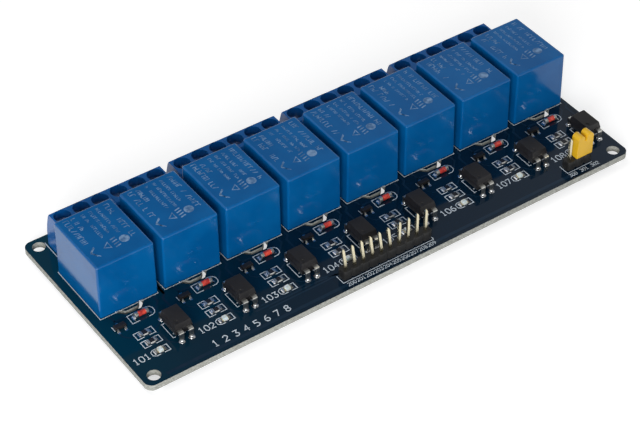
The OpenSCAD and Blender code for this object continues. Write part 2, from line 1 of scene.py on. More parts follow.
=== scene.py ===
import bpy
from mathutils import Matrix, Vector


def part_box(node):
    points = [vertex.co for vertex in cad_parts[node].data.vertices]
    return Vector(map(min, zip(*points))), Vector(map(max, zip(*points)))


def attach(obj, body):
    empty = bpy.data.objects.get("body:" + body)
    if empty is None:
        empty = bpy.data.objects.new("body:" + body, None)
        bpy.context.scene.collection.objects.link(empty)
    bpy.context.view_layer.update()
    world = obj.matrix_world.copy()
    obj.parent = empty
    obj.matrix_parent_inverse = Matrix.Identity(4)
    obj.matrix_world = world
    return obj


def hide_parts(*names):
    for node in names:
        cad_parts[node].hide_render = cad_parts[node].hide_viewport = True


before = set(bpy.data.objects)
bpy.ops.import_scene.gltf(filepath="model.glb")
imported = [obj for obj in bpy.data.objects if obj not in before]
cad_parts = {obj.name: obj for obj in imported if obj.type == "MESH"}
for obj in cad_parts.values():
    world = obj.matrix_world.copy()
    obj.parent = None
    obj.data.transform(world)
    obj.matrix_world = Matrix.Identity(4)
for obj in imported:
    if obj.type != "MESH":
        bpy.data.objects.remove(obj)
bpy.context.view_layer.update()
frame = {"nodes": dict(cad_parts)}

import math
import random

import bmesh
import bpy
from mathutils import Vector


# ---- Circuit board ----
# A sheet of woven glass in resin, under a dark blue solder mask. It is routed from a
# panel, which leaves the pale laminate bare along its edges and in its holes and slots.

MM = 0.001
nodes = frame["nodes"]


class Tone:
    """A socket of a node tree, which takes part in sums as a number does."""

    def __init__(self, nodes, socket):
        self.nodes, self.socket = nodes, socket

    def _sum(self, operation, *terms):
        return self.nodes.node("ShaderNodeMath", {"operation": operation}, dict(enumerate(terms)))

    def __add__(self, other):
        return self._sum("ADD", self, other)

    def __radd__(self, other):
        return self._sum("ADD", other, self)

    def __sub__(self, other):
        return self._sum("SUBTRACT", self, other)

    def __rsub__(self, other):
        return self._sum("SUBTRACT", other, self)

    def __mul__(self, other):
        return self._sum("MULTIPLY", self, other)

    def __rmul__(self, other):
        return self._sum("MULTIPLY", other, self)

    def __abs__(self):
        return self._sum("ABSOLUTE", self)

    def over(self, low, high):
        """0 below low, 1 above high, and smooth between them."""
        return self.nodes.node("ShaderNodeMapRange", {"interpolation_type": "SMOOTHSTEP"},
                               {"Value": self, "From Min": low, "From Max": high})


class NodeTree:
    """The nodes of a finish or of the air round the board."""

    def __init__(self, tree):
        self.tree = tree

    def node(self, kind, settings, values, output=0):
        made = self.tree.nodes.new(kind)
        for name, value in settings.items():
            setattr(made, name, value)
        for socket, value in values.items():
            if isinstance(value, Tone):
                self.tree.links.new(value.socket, made.inputs[socket])
            else:
                made.inputs[socket].default_value = value
        return Tone(self, made.outputs[output])

    def axes(self, vector):
        return [self.node("ShaderNodeSeparateXYZ", {}, {0: vector}, k) for k in range(3)]

    def seen(self):
        """1 for what the camera sees, straight or in a reflection or through glass."""
        camera, glossy, through = (self.node("ShaderNodeLightPath", {}, {}, f"Is {kind} Ray")
                                   for kind in ("Camera", "Glossy", "Transmission"))
        return (camera + glossy + through).over(0, 1)


class Finish(NodeTree):
    """One material, built round a Principled shader, with lengths in millimetres."""

    def __init__(self, name, colour, **fixed):
        self.material = bpy.data.materials.new(name)
        self.material.use_nodes = True
        super().__init__(self.material.node_tree)
        self.shader = self.tree.nodes["Principled BSDF"]
        self.shader.inputs["Base Color"].default_value = (*colour, 1)
        for socket, value in fixed.items():
            self.shader.inputs[socket.replace("_", " ")].default_value = value
        where = self.node("ShaderNodeTexCoord", {}, {}, "Object")
        self.place = self.node("ShaderNodeVectorMath", {"operation": "SCALE"},
                               {0: where, "Scale": 1 / MM})

    def set(self, socket, value):
        self.tree.links.new(value.socket, self.shader.inputs[socket])

    def spot(self):
        """Where the surface is, as three numbers."""
        return self.axes(self.place)

    def facing(self):
        """The outward direction of the surface, as three numbers."""
        return self.axes(self.node("ShaderNodeNewGeometry", {}, {}, "Normal"))

    def grain(self, per_mm, detail=2.0, stretch=(1, 1, 1), rough=0.5):
        """Cloudy variation, from about 0.3 to 0.7, with so many clouds in a millimetre."""
        along = self.node("ShaderNodeVectorMath", {"operation": "MULTIPLY"},
                          {0: self.place, 1: stretch})
        return self.node("ShaderNodeTexNoise", {}, {"Vector": along, "Scale": per_mm,
                         "Detail": detail, "Roughness": rough})

    def mix(self, mask, low, high):
        """One colour where the mask is 0 and the other where it is 1."""
        values = {"Factor": mask, 6: low, 7: high}
        for k in (6, 7):
            if isinstance(values[k], tuple):
                values[k] = (*values[k], 1)
        return self.node("ShaderNodeMix", {"data_type": "RGBA"}, values, 2)

    def bump(self, height, depth):
        """Raises the surface by the height, of which 1 is so many millimetres."""
        self.set("Normal", self.node("ShaderNodeBump", {}, {"Height": height, "Strength": 1.0,
                                                            "Distance": depth * MM}))

    def on(self, *names):
        for name in names:
            for slot in nodes[name].material_slots:
                slot.material = self.material


mask_blue = (0.0014, 0.0115, 0.027)
# Painted reflection: a teal tint that stands in for the blue relays reflected in the mask and for uneven
# light on it.
painted_reflection_teal = (0.0007, 0.03, 0.055)
mask_on_copper = (0.0035, 0.0195, 0.042)

board_finish = Finish("board", mask_blue, Roughness=0.06, Specular_IOR_Level=0.35)
up = abs(board_finish.facing()[2])
face = up.over(0.5, 0.8)
weave = board_finish.grain(1.6, 3, (1, 1, 6))
cloud = board_finish.grain(0.05, 2)
across, along, _ = board_finish.spot()
# Painted reflection and painted light: the mask turns teal towards the left end and the back of the board.
painted_reflection_blend = (cloud * 30 - across + along).over(0, 110)
mask = board_finish.mix(painted_reflection_blend, mask_blue, painted_reflection_teal)
laminate = board_finish.mix(weave.over(0.3, 0.7), (0.2, 0.2, 0.17), (0.48, 0.49, 0.46))
board_finish.set("Base Color", board_finish.mix(face, laminate, mask))
board_finish.set("Roughness", 0.75 - 0.68 * face)
board_finish.bump(board_finish.grain(0.12, 1) * face + weave * (1 - face), 0.02)
board_finish.on("pcb")

board_low, board_high = (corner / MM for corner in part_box("pcb"))
board_top, board_under = board_high.z, board_low.z


# ---- Copper tracks ----
# Thin copper left on both faces after etching, under the solder mask, which lies over it
# in a faint step. The wide ones carry the mains from the relays to the terminals.

class Shape:
    """A mesh in the making, in millimetres."""

    def __init__(self):
        self.mesh = bmesh.new()

    def loop(self, points):
        return [self.mesh.verts.new(point) for point in points]

    def skin(self, *loops):
        """Quads between each loop and the next, all with as many points."""
        for a, b in zip(loops, loops[1:]):
            for k in range(len(a)):
                n = (k + 1) % len(a)
                self.mesh.faces.new((a[k], a[n], b[n], b[k]))

    def lid(self, loop):
        self.mesh.faces.new(loop)

    def strip(self, points, width, low, high):
        """A flat strip along a run of points, with mitred corners."""
        points = [Vector(point) for point in points]
        closed = points[0] == points[-1]
        if closed:
            points.pop()
        sides = []
        for k, point in enumerate(points):
            a = points[k - 1] if k or closed else None
            b = points[(k + 1) % len(points)] if k + 1 < len(points) or closed else None
            before = (point - a).normalized() if a is not None else (b - point).normalized()
            after = (b - point).normalized() if b is not None else before
            across = (before + after).normalized().orthogonal()
            reach = width / 2 / max(0.4, abs(across.dot(after.orthogonal())))
            sides.append((point + across * reach, point - across * reach))
        rings = [self.loop([(*left, low), (*right, low), (*right, high), (*left, high)])
                 for left, right in sides]
        self.skin(*rings, *(rings[:1] if closed else ()))
        if not closed:
            self.lid(rings[0])
            self.lid(rings[-1])

    def turn(self, profile, at, steps=24):
        """A round shape from radii and heights, closed where a radius is 0."""
        loops = []
        for radius, height in profile:
            if radius == 0:
                loops.append([self.mesh.verts.new((at[0], at[1], height))])
            else:
                loops.append(self.loop([(at[0] + radius * math.cos(k * math.tau / steps),
                                         at[1] + radius * math.sin(k * math.tau / steps), height)
                                        for k in range(steps)]))
        for a, b in zip(loops, loops[1:]):
            if len(a) == 1 or len(b) == 1:
                tip, ring = (a[0], b) if len(a) == 1 else (b[0], a)
                for k in range(len(ring)):
                    self.mesh.faces.new((ring[k], ring[(k + 1) % len(ring)], tip))
            else:
                self.skin(a, b)

    def piece(self, name, finish, slot, body="board", replaces=(), sharp=40, even=False):
        """Turns the shape into an object that rides on a body of the model."""
        bmesh.ops.recalc_face_normals(self.mesh, faces=self.mesh.faces)
        bmesh.ops.scale(self.mesh, vec=(MM, MM, MM), verts=self.mesh.verts)
        data = bpy.data.meshes.new(name)
        self.mesh.to_mesh(data)
        self.mesh.free()
        data.shade_smooth()
        data.set_sharp_from_angle(angle=math.radians(sharp))
        data.materials.append(finish.material)
        made = bpy.data.objects.new(name, data)
        bpy.context.collection.objects.link(made)
        if even:
            made.modifiers.new("even shading", "WEIGHTED_NORMAL").keep_sharp = True
        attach(made, body)
        if replaces:
            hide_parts(*replaces)
        return made


track_finish = Finish("track", mask_on_copper, Roughness=0.07, Specular_IOR_Level=0.35)
track_finish.set("Base Color", track_finish.mix(track_finish.grain(0.3, 2).over(0.3, 0.7),
                                                mask_on_copper, (0.0075, 0.021, 0.042)))

channels = range(8)
relay_at = []
for k in channels:
    low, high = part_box(f"relay_case_{k + 1}")
    relay_at.append(Vector(((low.x + high.x) / 2, low.y)) / MM)
block_at = []
for k in channels:
    low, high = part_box(f"terminal_block_{k + 1}")
    block_at.append(Vector((low.x / MM - 0.02, low.y / MM)))
opto_at = []
for k in channels:
    low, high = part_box(f"optocoupler_{k + 1}")
    opto_at.append(Vector(((low.x + high.x) / 2, (low.y + high.y) / 2)) / MM)
low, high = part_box("optocoupler_leads")
opto_row = (high.y - low.y) / MM / 2 - 0.125
header_low, header_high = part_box("input_header_body")
header_y = (header_low.y + header_high.y) / 2 / MM
header_x = (header_low.x + header_high.x) / 2 / MM
power_low, power_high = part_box("power_header_body")
power_x = (power_low.x + power_high.x) / 2 / MM
pin_gap, way_gap = 2.54, 5.0
input_pins = [header_x + (j - 4.5) * pin_gap for j in range(10)]
power_pins = [power_x + (j - 1) * pin_gap for j in range(3)]
step = 0.03

# Places of a channel's leads and chips, from the middle of its relay's front face.
common_pin = (0, 2.1)
coil_pins = [(-6.0, 4.1), (6.0, 4.1)]
contact_pins = [(-6.0, 16.3), (6.0, 16.3)]
diode_at = (0.65, -3.9)
transistor_at = (-5.4, -4.65)
upper_resistor_y, lower_resistor_y, led_y = -9.25, -12.35, -15.85
terminal_pin_y = 1.85


def beside(k, points):
    """Points measured from the middle of one relay's front face."""
    return [(relay_at[k].x + x, relay_at[k].y + y) for x, y in points]


top_tracks, under_tracks = Shape(), Shape()
for k in channels:
    for width, route in (
            (0.5, [(-5.4, -3.4), (-5.4, -2.4), (-3.4, -2.4), (-1.1, -3.2), (-1.1, -3.9)]),
            (0.3, [(-6.35, -5.9), (-6.35, -7.4), (-5.3, -8.6), (-2.9, -9.2)]),
            (0.3, [(-0.85, -9.25), (1.2, -9.25), (2.6, -8.4), (3.68, -7.65)]),
            (0.3, [(-0.85, -12.35), (0.9, -13.9), (2.2, -15.7), (3.68, -16.15)]),
            (0.3, [(-2.85, -12.35), (-4.2, -13.6), (-4.2, -15.2), (-2.9, -15.85)]),
            (0.5, [(2.4, -3.9), (4.4, -3.9), (6.0, -2.2), (6.0, 4.1)]),
            (0.5, [(-6.0, 4.1), (-6.0, 0.2), (-5.4, -1.2), (-5.4, -2.4)]),
            (0.6, [(6.2, -7.6), (7.5, -6.2), (7.5, -2.0), (8.5, -1.0), (8.5, 3.0)])):
        top_tracks.strip(beside(k, route), width, board_top, board_top + step)
    input_pin = input_pins[1 + k]
    lead_x, lead_y = opto_at[k].x + pin_gap / 2, opto_at[k].y - opto_row
    lane_x, lane_y = lead_x + 0.9, header_y + 3.1 - 0.25 * k
    under_tracks.strip([(lead_x, lead_y), (lane_x, lead_y - 1.0), (lane_x, lane_y),
                        (input_pin, lane_y), (input_pin, header_y)],
                       0.3, board_under - step, board_under)
    middle = block_at[k].x + 1.5 * way_gap
    for contact, way in zip(beside(k, contact_pins), (-way_gap, way_gap)):
        under_tracks.strip([contact, (contact[0], contact[1] + 1.6), (middle + way, block_at[k].y + 0.6),
                            (middle + way, block_at[k].y + terminal_pin_y)],
                           2.4, board_under - step, board_under)
    common = beside(k, [common_pin])[0]
    under_tracks.strip([common, (common[0], common[1] + 12.2), (middle, common[1] + 16.6),
                        (middle, block_at[k].y + terminal_pin_y)], 3.2, board_under - step, board_under)
front = board_low.y
top_tracks.strip([(board_low.x + 5.5, front + 1.5), (power_pins[0] - 1, front + 1.5),
                  (power_pins[0], front + 2.4), (power_pins[0], header_y)],
                 0.9, board_top, board_top + step)
top_tracks.strip([(relay_at[0].x + 8.5, relay_at[0].y - 1.0), (relay_at[0].x + 8.5, relay_at[0].y + 3.0)],
                 0.6, board_top, board_top + step)
for lane in (0, 1, 2):
    top_tracks.strip([(input_pins[0] - 26 + 3 * lane, front + 7.2 - 0.9 * lane),
                      (input_pins[0] - 6, front + 7.2 - 0.9 * lane),
                      (input_pins[lane], header_y + 1.5), (input_pins[lane], header_y)],
                     0.45, board_top, board_top + step)
top_tracks.piece("board_tracks_top", track_finish, "board")
under_tracks.strip([(board_low.x + 4, relay_at[0].y - 1.9), (board_high.x - 4, relay_at[0].y - 1.9)],
                   1.4, board_under - step, board_under)
under_tracks.strip([(board_low.x + 4, front + 2.0), (board_high.x - 8, front + 2.0)],
                   1.2, board_under - step, board_under)
under_tracks.piece("board_tracks_under", track_finish, "board")


# ---- Pads and solder ----
# Tinned copper rings round the holes and tinned lands under the small chips, with the
# solder that has run up each lead. The underside is wave soldered, so its fillets are
# full and bright.

solder_finish = Finish("solder", (0.62, 0.63, 0.64), Metallic=1.0, Roughness=0.22)
solder_finish.set("Roughness", 0.16 + 0.2 * solder_finish.grain(1.2, 3).over(0.35, 0.7))
solder_finish.bump(solder_finish.grain(1.1, 2), 0.05)

fibres = random.Random(7)
pads, fillets, small_fillets = Shape(), Shape(), Shape()
leads = []
for k in channels:
    leads += [(*point, 0.56, 1.5) for point in beside(k, [common_pin])]
    leads += [(*point, 0.43, 1.15) for point in beside(k, coil_pins)]
    leads += [(*point, 0.54, 1.4) for point in beside(k, contact_pins)]
    leads += [(block_at[k].x + (0.5 + j) * way_gap, block_at[k].y + terminal_pin_y, 0.56, 1.4)
              for j in range(3)]
    leads += [(opto_at[k].x + s * pin_gap / 2, opto_at[k].y + t * opto_row, 0.28, 0.8)
              for s in (-1, 1) for t in (-1, 1)]
leads += [(x, header_y, 0.45, 0.85) for x in input_pins + power_pins]
for x, y, lead, pad in leads:
    wide = max(pad, lead + 0.5)
    pads.turn([(0.3, board_top + 0.001), (0.3, board_top + 0.04), (wide - 0.03, board_top + 0.04),
               (wide, board_top + 0.001)], (x, y))
    pads.turn([(0.3, board_under - 0.001), (0.3, board_under - 0.04), (wide - 0.03, board_under - 0.04),
               (wide, board_under - 0.001)], (x, y))
    full = min(wide - 0.1, lead + 0.62)
    lean = fibres.uniform(-0.03, 0.03)
    curve = [(full - (full - lead * 0.8) * math.sin(t * math.pi / 2) ** 0.75, board_under - 0.03 - 1.02 * t)
             for t in (0, 0.08, 0.2, 0.36, 0.55, 0.76, 1.0)]
    fillets.turn([(0, board_under)] + curve + [(0, curve[-1][1] - 0.05)], (x + lean, y - lean), 20)
    if lead < 0.3:
        small_fillets.turn([(0.72, board_top + 0.03), (0.5, board_top + 0.1), (0.34, board_top + 0.24),
                            (0.26, board_top + 0.46), (0, board_top + 0.5)], (x, y), 20)
fillets.piece("solder_fillets_under", solder_finish, "solder", replaces=("solder_joints",))


def land(x, y, half_x, half_y, rise, way):
    """A tinned land with a wave of solder against the end of a chip at its inner side."""
    low = board_top + 0.001
    steps = 6
    pads.strip([(x - half_x, y), (x + half_x, y)], 2 * half_y, low, low + 0.035)
    rows = []
    for a in range(steps + 1):
        u = a / steps
        row = []
        for b in range(steps + 1):
            v = 2 * b / steps - 1
            height = rise * (1 - u) ** 1.8 * (1 - 0.25 * v ** 4) + 0.035
            out = (2 * u - 1) * 0.94 if way[0] + way[1] > 0 else (1 - 2 * u) * 0.94
            spot = (x + half_x * out, y + half_y * v * 0.94) if way[0] else \
                (x + half_x * v * 0.94, y + half_y * out)
            row.append(small_fillets.mesh.verts.new((*spot, low + height)))
        rows.append(row)
    for a, b in zip(rows, rows[1:]):
        for k in range(steps):
            small_fillets.mesh.faces.new((a[k], a[k + 1], b[k + 1], b[k]))


for k in channels:
    for chip_y in (upper_resistor_y, lower_resistor_y, led_y):
        for s in (-1, 1):
            x = (-1.8 if chip_y == led_y else -1.85) + s * 1.28
            land(*beside(k, [(x, chip_y)])[0], 0.27, 0.66, 0.3, (s, 0))
    for s in (-1, 1):
        land(*beside(k, [(diode_at[0] + s * 2.05, diode_at[1])])[0], 0.3, 0.7, 0.62, (s, 0))
    for x, s in ((-0.95, -1), (0.95, -1), (0, 1)):
        spot = beside(k, [(transistor_at[0] + x, transistor_at[1] + s * 1.32)])[0]
        land(*spot, 0.32, 0.36, 0.12, (0, s))
pads.piece("solder_pads", solder_finish, "solder")
small_fillets.piece("solder_fillets_top", solder_finish, "solder")


# ---- Printed legend ----
# White ink screened on the mask: outlines of the parts, the channel numbers, and the
# polarity and number of each header pin.

legend_finish = Finish("legend_ink", (0.56, 0.63, 0.7), Roughness=0.45)
legend_finish.set("Base Color", legend_finish.mix(legend_finish.grain(3, 2).over(0.3, 0.6),
                                                  (0.42, 0.48, 0.55), (0.6, 0.67, 0.73)))

strokes = {
    "0": [[(0.2, 0), (0, 0.2), (0, 0.8), (0.2, 1), (0.4, 1), (0.6, 0.8), (0.6, 0.2), (0.4, 0), (0.2, 0)]],
    "1": [[(0.1, 0.8), (0.3, 1), (0.3, 0)], [(0.1, 0), (0.5, 0)]],
    "2": [[(0, 0.8), (0.2, 1), (0.4, 1), (0.6, 0.8), (0.6, 0.6), (0, 0), (0.6, 0)]],
    "3": [[(0, 1), (0.6, 1), (0.3, 0.6), (0.6, 0.4), (0.6, 0.2), (0.4, 0), (0.1, 0), (0, 0.15)]],
    "4": [[(0.45, 0), (0.45, 1), (0, 0.35), (0.65, 0.35)]],
    "5": [[(0.6, 1), (0.05, 1), (0.05, 0.6), (0.4, 0.6), (0.6, 0.4), (0.6, 0.2), (0.4, 0), (0, 0)]],
    "6": [[(0.5, 1), (0.2, 0.85), (0, 0.5), (0, 0.2), (0.2, 0), (0.4, 0), (0.6, 0.2), (0.6, 0.4),
           (0.4, 0.55), (0.05, 0.5)]],
    "7": [[(0, 1), (0.6, 1), (0.2, 0)]],
    "8": [[(0.2, 0.52), (0, 0.35), (0, 0.15), (0.2, 0), (0.4, 0), (0.6, 0.15), (0.6, 0.35), (0.4, 0.52),
           (0.2, 0.52), (0.04, 0.68), (0.04, 0.86), (0.2, 1), (0.4, 1), (0.56, 0.86), (0.56, 0.68),
           (0.4, 0.52)]],
    "9": [[(0.1, 0), (0.4, 0.15), (0.6, 0.5), (0.6, 0.8), (0.4, 1), (0.2, 1), (0, 0.8), (0, 0.6),
           (0.2, 0.45), (0.55, 0.5)]],
}
legend = Shape()
ink_low, ink_high = board_top + 0.001, board_top + 0.045
ink_line = 0.17


def number(shape, text, x, y, tall, low, high, width=0.16):
    for place, sign in enumerate(text):
        for stroke in strokes[sign]:
            shape.strip([(x + (a + 0.85 * place) * tall, y + b * tall) for a, b in stroke],
                        width, low, high)


for k in channels:
    drawn = [
        [(-7.05, 18.96), (-7.6, 18.96), (-7.65, 0), (7.55, 0), (7.55, 0.45)],
        [(-6.9, -3.5), (-6.9, -4.9), (-6.3, -4.9)],
        [(-0.35, -2.4), (-2.3, -2.5), (-2.4, -5.25), (-0.5, -5.25)],
        [(1.9, -2.2), (2.9, -2.2), (3.6, -2.6), (3.95, -3.2), (3.95, -4.2), (3.6, -4.85), (2.9, -5.2),
         (1.9, -5.2)],
        [(-2.4, -8.2), (-4.16, -8.2), (-4.16, -10.3), (-2.4, -10.3)],
        [(-1.2, -8.2), (0.5, -8.2), (0.5, -10.3), (-1.2, -10.3)],
        [(-2.5, -11.35), (-4.2, -11.35), (-4.2, -13.4), (-2.5, -13.4)],
        [(-1.3, -11.35), (0.4, -11.35), (0.4, -13.4), (-1.3, -13.4)],
        [(-2.2, -14.85), (-3.3, -14.85), (-3.95, -15.3), (-3.95, -16.4), (-3.3, -16.85), (-2.2, -16.85)],
        [(-1.2, -14.85), (0.35, -14.85), (0.35, -16.85), (-1.2, -16.85)],
        [(3.48, -9.18), (2.68, -9.19), (2.64, -14.2), (3.3, -14.2)],
        [(3.95, -14.2), (5.8, -14.2)],
        [(6.5, -14.2), (7.3, -14.2)]]
    for route in drawn:
        legend.strip(beside(k, route), ink_line, ink_low, ink_high)
    legend.turn([(0, ink_high), (0.18, ink_high), (0.18, ink_low)], beside(k, [(3.4, -13.05)])[0], 12)
    number(legend, f"10{k + 1}", relay_at[k].x - 8.55, relay_at[k].y - 16.7, 1.7, ink_low, ink_high, 0.2)
    x, y = block_at[k]
    legend.strip([(x - 0.4, y - 0.5), (x - 0.4, y + 8.6)], ink_line, ink_low, ink_high)
    number(legend, str(k + 1), relay_at[0].x + 8.8 + 2.75 * k, relay_at[0].y - 21.9, 1.8,
           ink_low, ink_high, 0.22)
ends = (input_pins[0] - 1.5, input_pins[-1] + 1.5)
legend.strip([(ends[0], header_y + 1.3), (ends[0], header_y - 1.45), (ends[1], header_y - 1.45),
              (ends[1], header_y + 1.3)], ink_line, ink_low, ink_high)
for a in input_pins[:-1]:
    legend.strip([(a + pin_gap / 2, header_y - 1.45), (a + pin_gap / 2, header_y - 1.2)],
                 0.14, ink_low, ink_high)
for k, x in enumerate(input_pins):
    number(legend, f"20{k}", x - 0.95, header_y - 2.95, 0.95, ink_low, ink_high, 0.13)
legend.strip([(power_pins[0] - 1.4, header_y + 1.6), (power_pins[0] - 1.4, header_y - 1.45),
              (power_pins[-1] + 1.2, header_y - 1.45)], ink_line, ink_low, ink_high)
for k, x in enumerate((-1.6, 1.8, 5.2)):
    number(legend, f"30{k}", power_pins[0] + x, header_y - 2.95, 0.95, ink_low, ink_high, 0.13)
legend.piece("board_legend", legend_finish, "board")


# ---- Relay works ----
# Inside each case: a nickel-plated yoke, core and armature of soft iron, a bobbin of black
# nylon wound with enamelled copper, and contacts on brass blades, all on a black base.

def metal(name, colour, rough, brushed=(1, 1, 1), depth=0.004):
    made = Finish(name, colour, Metallic=1.0, Roughness=rough)
    fine = made.grain(3, 3, brushed)
    made.set("Roughness", rough * 0.8 + rough * 0.6 * fine)
    made.bump(fine, depth)
    return made


def plastic(name, colour, rough, pale=1.25, texture=6.0, depth=0.004):
    made = Finish(name, colour, Roughness=rough, Specular_IOR_Level=0.35)
    wide = made.grain(0.15, 3)
    made.set("Base Color", made.mix(wide.over(0.3, 0.7), colour, tuple(c * pale for c in colour)))
    made.set("Roughness", rough * 0.85 + rough * 0.35 * made.grain(0.8, 2))
    made.bump(made.grain(texture, 2), depth)
    return made


iron_finish = metal("soft_iron", (0.56, 0.56, 0.53), 0.3, (1, 12, 1))
iron_finish.on("relay_yokes", "relay_cores", *(f"relay_armature_{k + 1}" for k in channels))
brass_finish = metal("contact_brass", (0.78, 0.56, 0.25), 0.25, (8, 1, 1))
brass_finish.on("relay_contacts")
bronze_finish = metal("spring_bronze", (0.72, 0.45, 0.24), 0.28, (1, 10, 1))
bronze_finish.on("relay_hinge_springs")
base_finish = plastic("relay_base", (0.02, 0.02, 0.022), 0.4)
base_finish.on("relay_bases")
bobbin_finish = plastic("bobbin", (0.03, 0.03, 0.03), 0.35)
bobbin_finish.on("relay_bobbins")

wire_finish = Finish("copper_winding", (0.55, 0.2, 0.07), Metallic=1.0, Roughness=0.3)
turns = wire_finish.spot()[2]
wave = wire_finish.node("ShaderNodeMath", {"operation": "SINE"}, {0: turns * (math.tau / 0.12)})
# Painted shade: the copper is dark in the troughs of the wave, in the grooves between the turns.
wire_finish.set("Base Color", wire_finish.mix(wave.over(-1, 0.4), (0.16, 0.05, 0.02), (0.62, 0.24, 0.09)))
wire_finish.bump(wave, 0.02)
wire_finish.on("relay_windings")

tin_finish = metal("tinned_lead", (0.66, 0.66, 0.62), 0.28)
tin_finish.on("relay_coil_pins")


# ---- Relay cases ----
# A thin box of blue plastic, open below, with a little draft and rounded edges. The gate
# mark is in the middle of the front. The roof is printed in pale ink, here with plain
# strokes, bars and a disc.

relay_finish = Finish("relay_blue", (0.0, 0.094, 0.29), Roughness=0.12, Specular_IOR_Level=0.35)
swirl = relay_finish.grain(0.11, 3)
relay_finish.set("Base Color", relay_finish.mix(swirl.over(0.3, 0.72),
                                                (0.0, 0.084, 0.27), (0.001, 0.105, 0.318)))
relay_finish.set("Roughness", 0.1 + 0.07 * relay_finish.grain(0.5, 3))
relay_finish.bump(relay_finish.grain(0.35, 2) * 0.7 + relay_finish.grain(7, 2) * 0.05, 0.05)


def rounded_ring(low_x, high_x, low_y, high_y, radius, z, steps=5):
    """A rectangle with rounded corners at one height."""
    points = []
    corners = ((high_x, low_y, -90), (high_x, high_y, 0), (low_x, high_y, 90), (low_x, low_y, 180))
    for cx, cy, start in corners:
        cx += -radius if cx == high_x else radius
        cy += -radius if cy == high_y else radius
        for k in range(steps + 1):
            angle = math.radians(start + 90 * k / steps)
            points.append((cx + radius * math.cos(angle), cy + radius * math.sin(angle), z))
    return points


case_low, case_high = (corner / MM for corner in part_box("relay_case_1"))
skin_gap = 0.006
foot, roof = case_low.z, case_high.z - skin_gap
draft, edge, wall, ceiling = 0.15, 0.5, 0.6, 0.8
gate_x, gate_z, gate_sides = -0.1, board_top + 7.2, 20
gate_profile = [(0.55, 0.0), (0.5, 0.03), (0.42, 0.04), (0.3, 0.02), (0.16, 0.05)]
gate_tip = 0.07
for k in channels:
    low, high = (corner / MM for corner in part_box(f"relay_case_{k + 1}"))
    case = Shape()

    def ring(inset, radius, z):
        return case.loop(rounded_ring(low.x + inset, high.x - inset,
                                      low.y + inset, high.y - inset, radius, z))

    outer = [ring(0.06, edge, foot), ring(0, edge, foot + 0.08), ring(draft * 0.5, edge, (foot + roof) / 2)]
    for a in range(7):
        angle = math.radians(15 * a)
        outer.append(ring(draft + edge * (1 - math.cos(angle)), max(0.04, edge * math.cos(angle)),
                          roof - edge + edge * math.sin(angle)))
    inner = [ring(wall + draft, 0.3, foot), ring(wall + draft, 0.3, roof - ceiling)]
    case.skin(*outer)
    case.lid(outer[-1])
    case.skin(*inner)
    case.lid(inner[-1])
    case.skin(outer[0], inner[0])
    x = (low.x + high.x) / 2 + gate_x
    front_face = low.y + draft * 0.45
    turned = [t * math.tau / gate_sides for t in range(gate_sides)]
    loops = []
    for radius, proud in gate_profile:
        loops.append(case.loop([(x + radius * math.cos(angle), front_face - proud,
                                 gate_z + radius * math.sin(angle)) for angle in turned]))
    tip = case.mesh.verts.new((x, front_face - gate_tip, gate_z))
    for t in range(gate_sides):
        case.mesh.faces.new((loops[-1][t], loops[-1][(t + 1) % gate_sides], tip))
    case.skin(*loops)
    case.piece(f"relay_shell_{k + 1}", relay_finish, "relay_blue",
               replaces=(f"relay_case_{k + 1}",), even=True)

ink_finish = Finish("relay_ink", (0.1, 0.2, 0.38), Roughness=0.4)
ink_finish.set("Base Color", ink_finish.mix(ink_finish.grain(0.9, 3).over(0.36, 0.64),
                                            (0.03, 0.11, 0.26), (0.17, 0.29, 0.48)))
print_marks = Shape()
ink_z, ink_thick = roof + 0.001, 0.003
space_share = 0.14


def print_line(k, points, width):
    """One stroke of ink, from points measured as in beside."""
    print_marks.strip(beside(k, points), width, ink_z, ink_z + ink_thick)


def print_run(k, x, start, end, tall, pitch, width):
    """A run of plain ticks and bars, as dense as small print, along the roof."""
    at = end
    while at > start:
        if fibres.random() < space_share:
            at -= pitch
            continue
        long = pitch * 0.6
        kind = fibres.randrange(5)
        marks = [[(x - tall / 2, at), (x + tall / 2, at)]]
        if kind == 0:
            marks.append([(x - tall / 2, at - long), (x + tall / 2, at - long)])
        elif kind == 1:
            marks.append([(x + tall / 2, at), (x + tall / 2, at - long)])
        elif kind == 2:
            marks.append([(x, at), (x, at - long), (x - tall / 2, at - long)])
        elif kind == 3:
            marks = [[(x - tall / 2, at), (x + tall / 2, at - long)]]
        else:
            marks.append([(x - tall / 2, at), (x - tall / 2, at - long)])
        for mark in marks:
            print_line(k, mark, width)
        at -= pitch


for k in channels:
    for x, start, end, tall, pitch in ((-5.2, 7.3, 17.6, 1.3, 0.95), (-3.3, 12.9, 17.4, 1.1, 0.8),
                                       (-0.95, 8.1, 17.3, 0.75, 0.62), (0.95, 7.6, 17.3, 0.75, 0.62),
                                       (2.85, 8.0, 17.3, 0.75, 0.62), (5.2, 4.4, 17.4, 1.2, 1.0)):
        print_run(k, x, start, end, tall, pitch, 0.2 if tall > 1 else 0.15)
    for dx, dy in ((0, 0), (0.55, -0.35)):
        print_line(k, [(-4.4 - dx, 3.1 - dy), (-5.9 + dx * 0.4, 5.0 - dy), (-4.3, 6.2 - dy)], 0.22)
    print_line(k, [(-1.0, 6.2), (-2.5, 5.0), (-1.0, 4.2), (-1.0, 6.2)], 0.22)
    for dy in (0, 0.9, 1.8, 2.7):
        print_line(k, [(-0.1, 3.8 + dy), (1.3, 4.1 + dy)], 0.34)
    print_marks.turn([(0, ink_z), (1.2, ink_z), (1.2, ink_z + 0.002), (0, ink_z + 0.002)],
                     beside(k, [(2.85, 5.2)])[0], 20)
print_marks.piece("relay_roof_print", ink_finish, "relay_blue")


# ---- Screw terminals ----
# Blue nylon housings, locked side by side by a dovetail, over tinned pins and rising
# cages of plated brass. Each slotted screw is sunk in its own well.

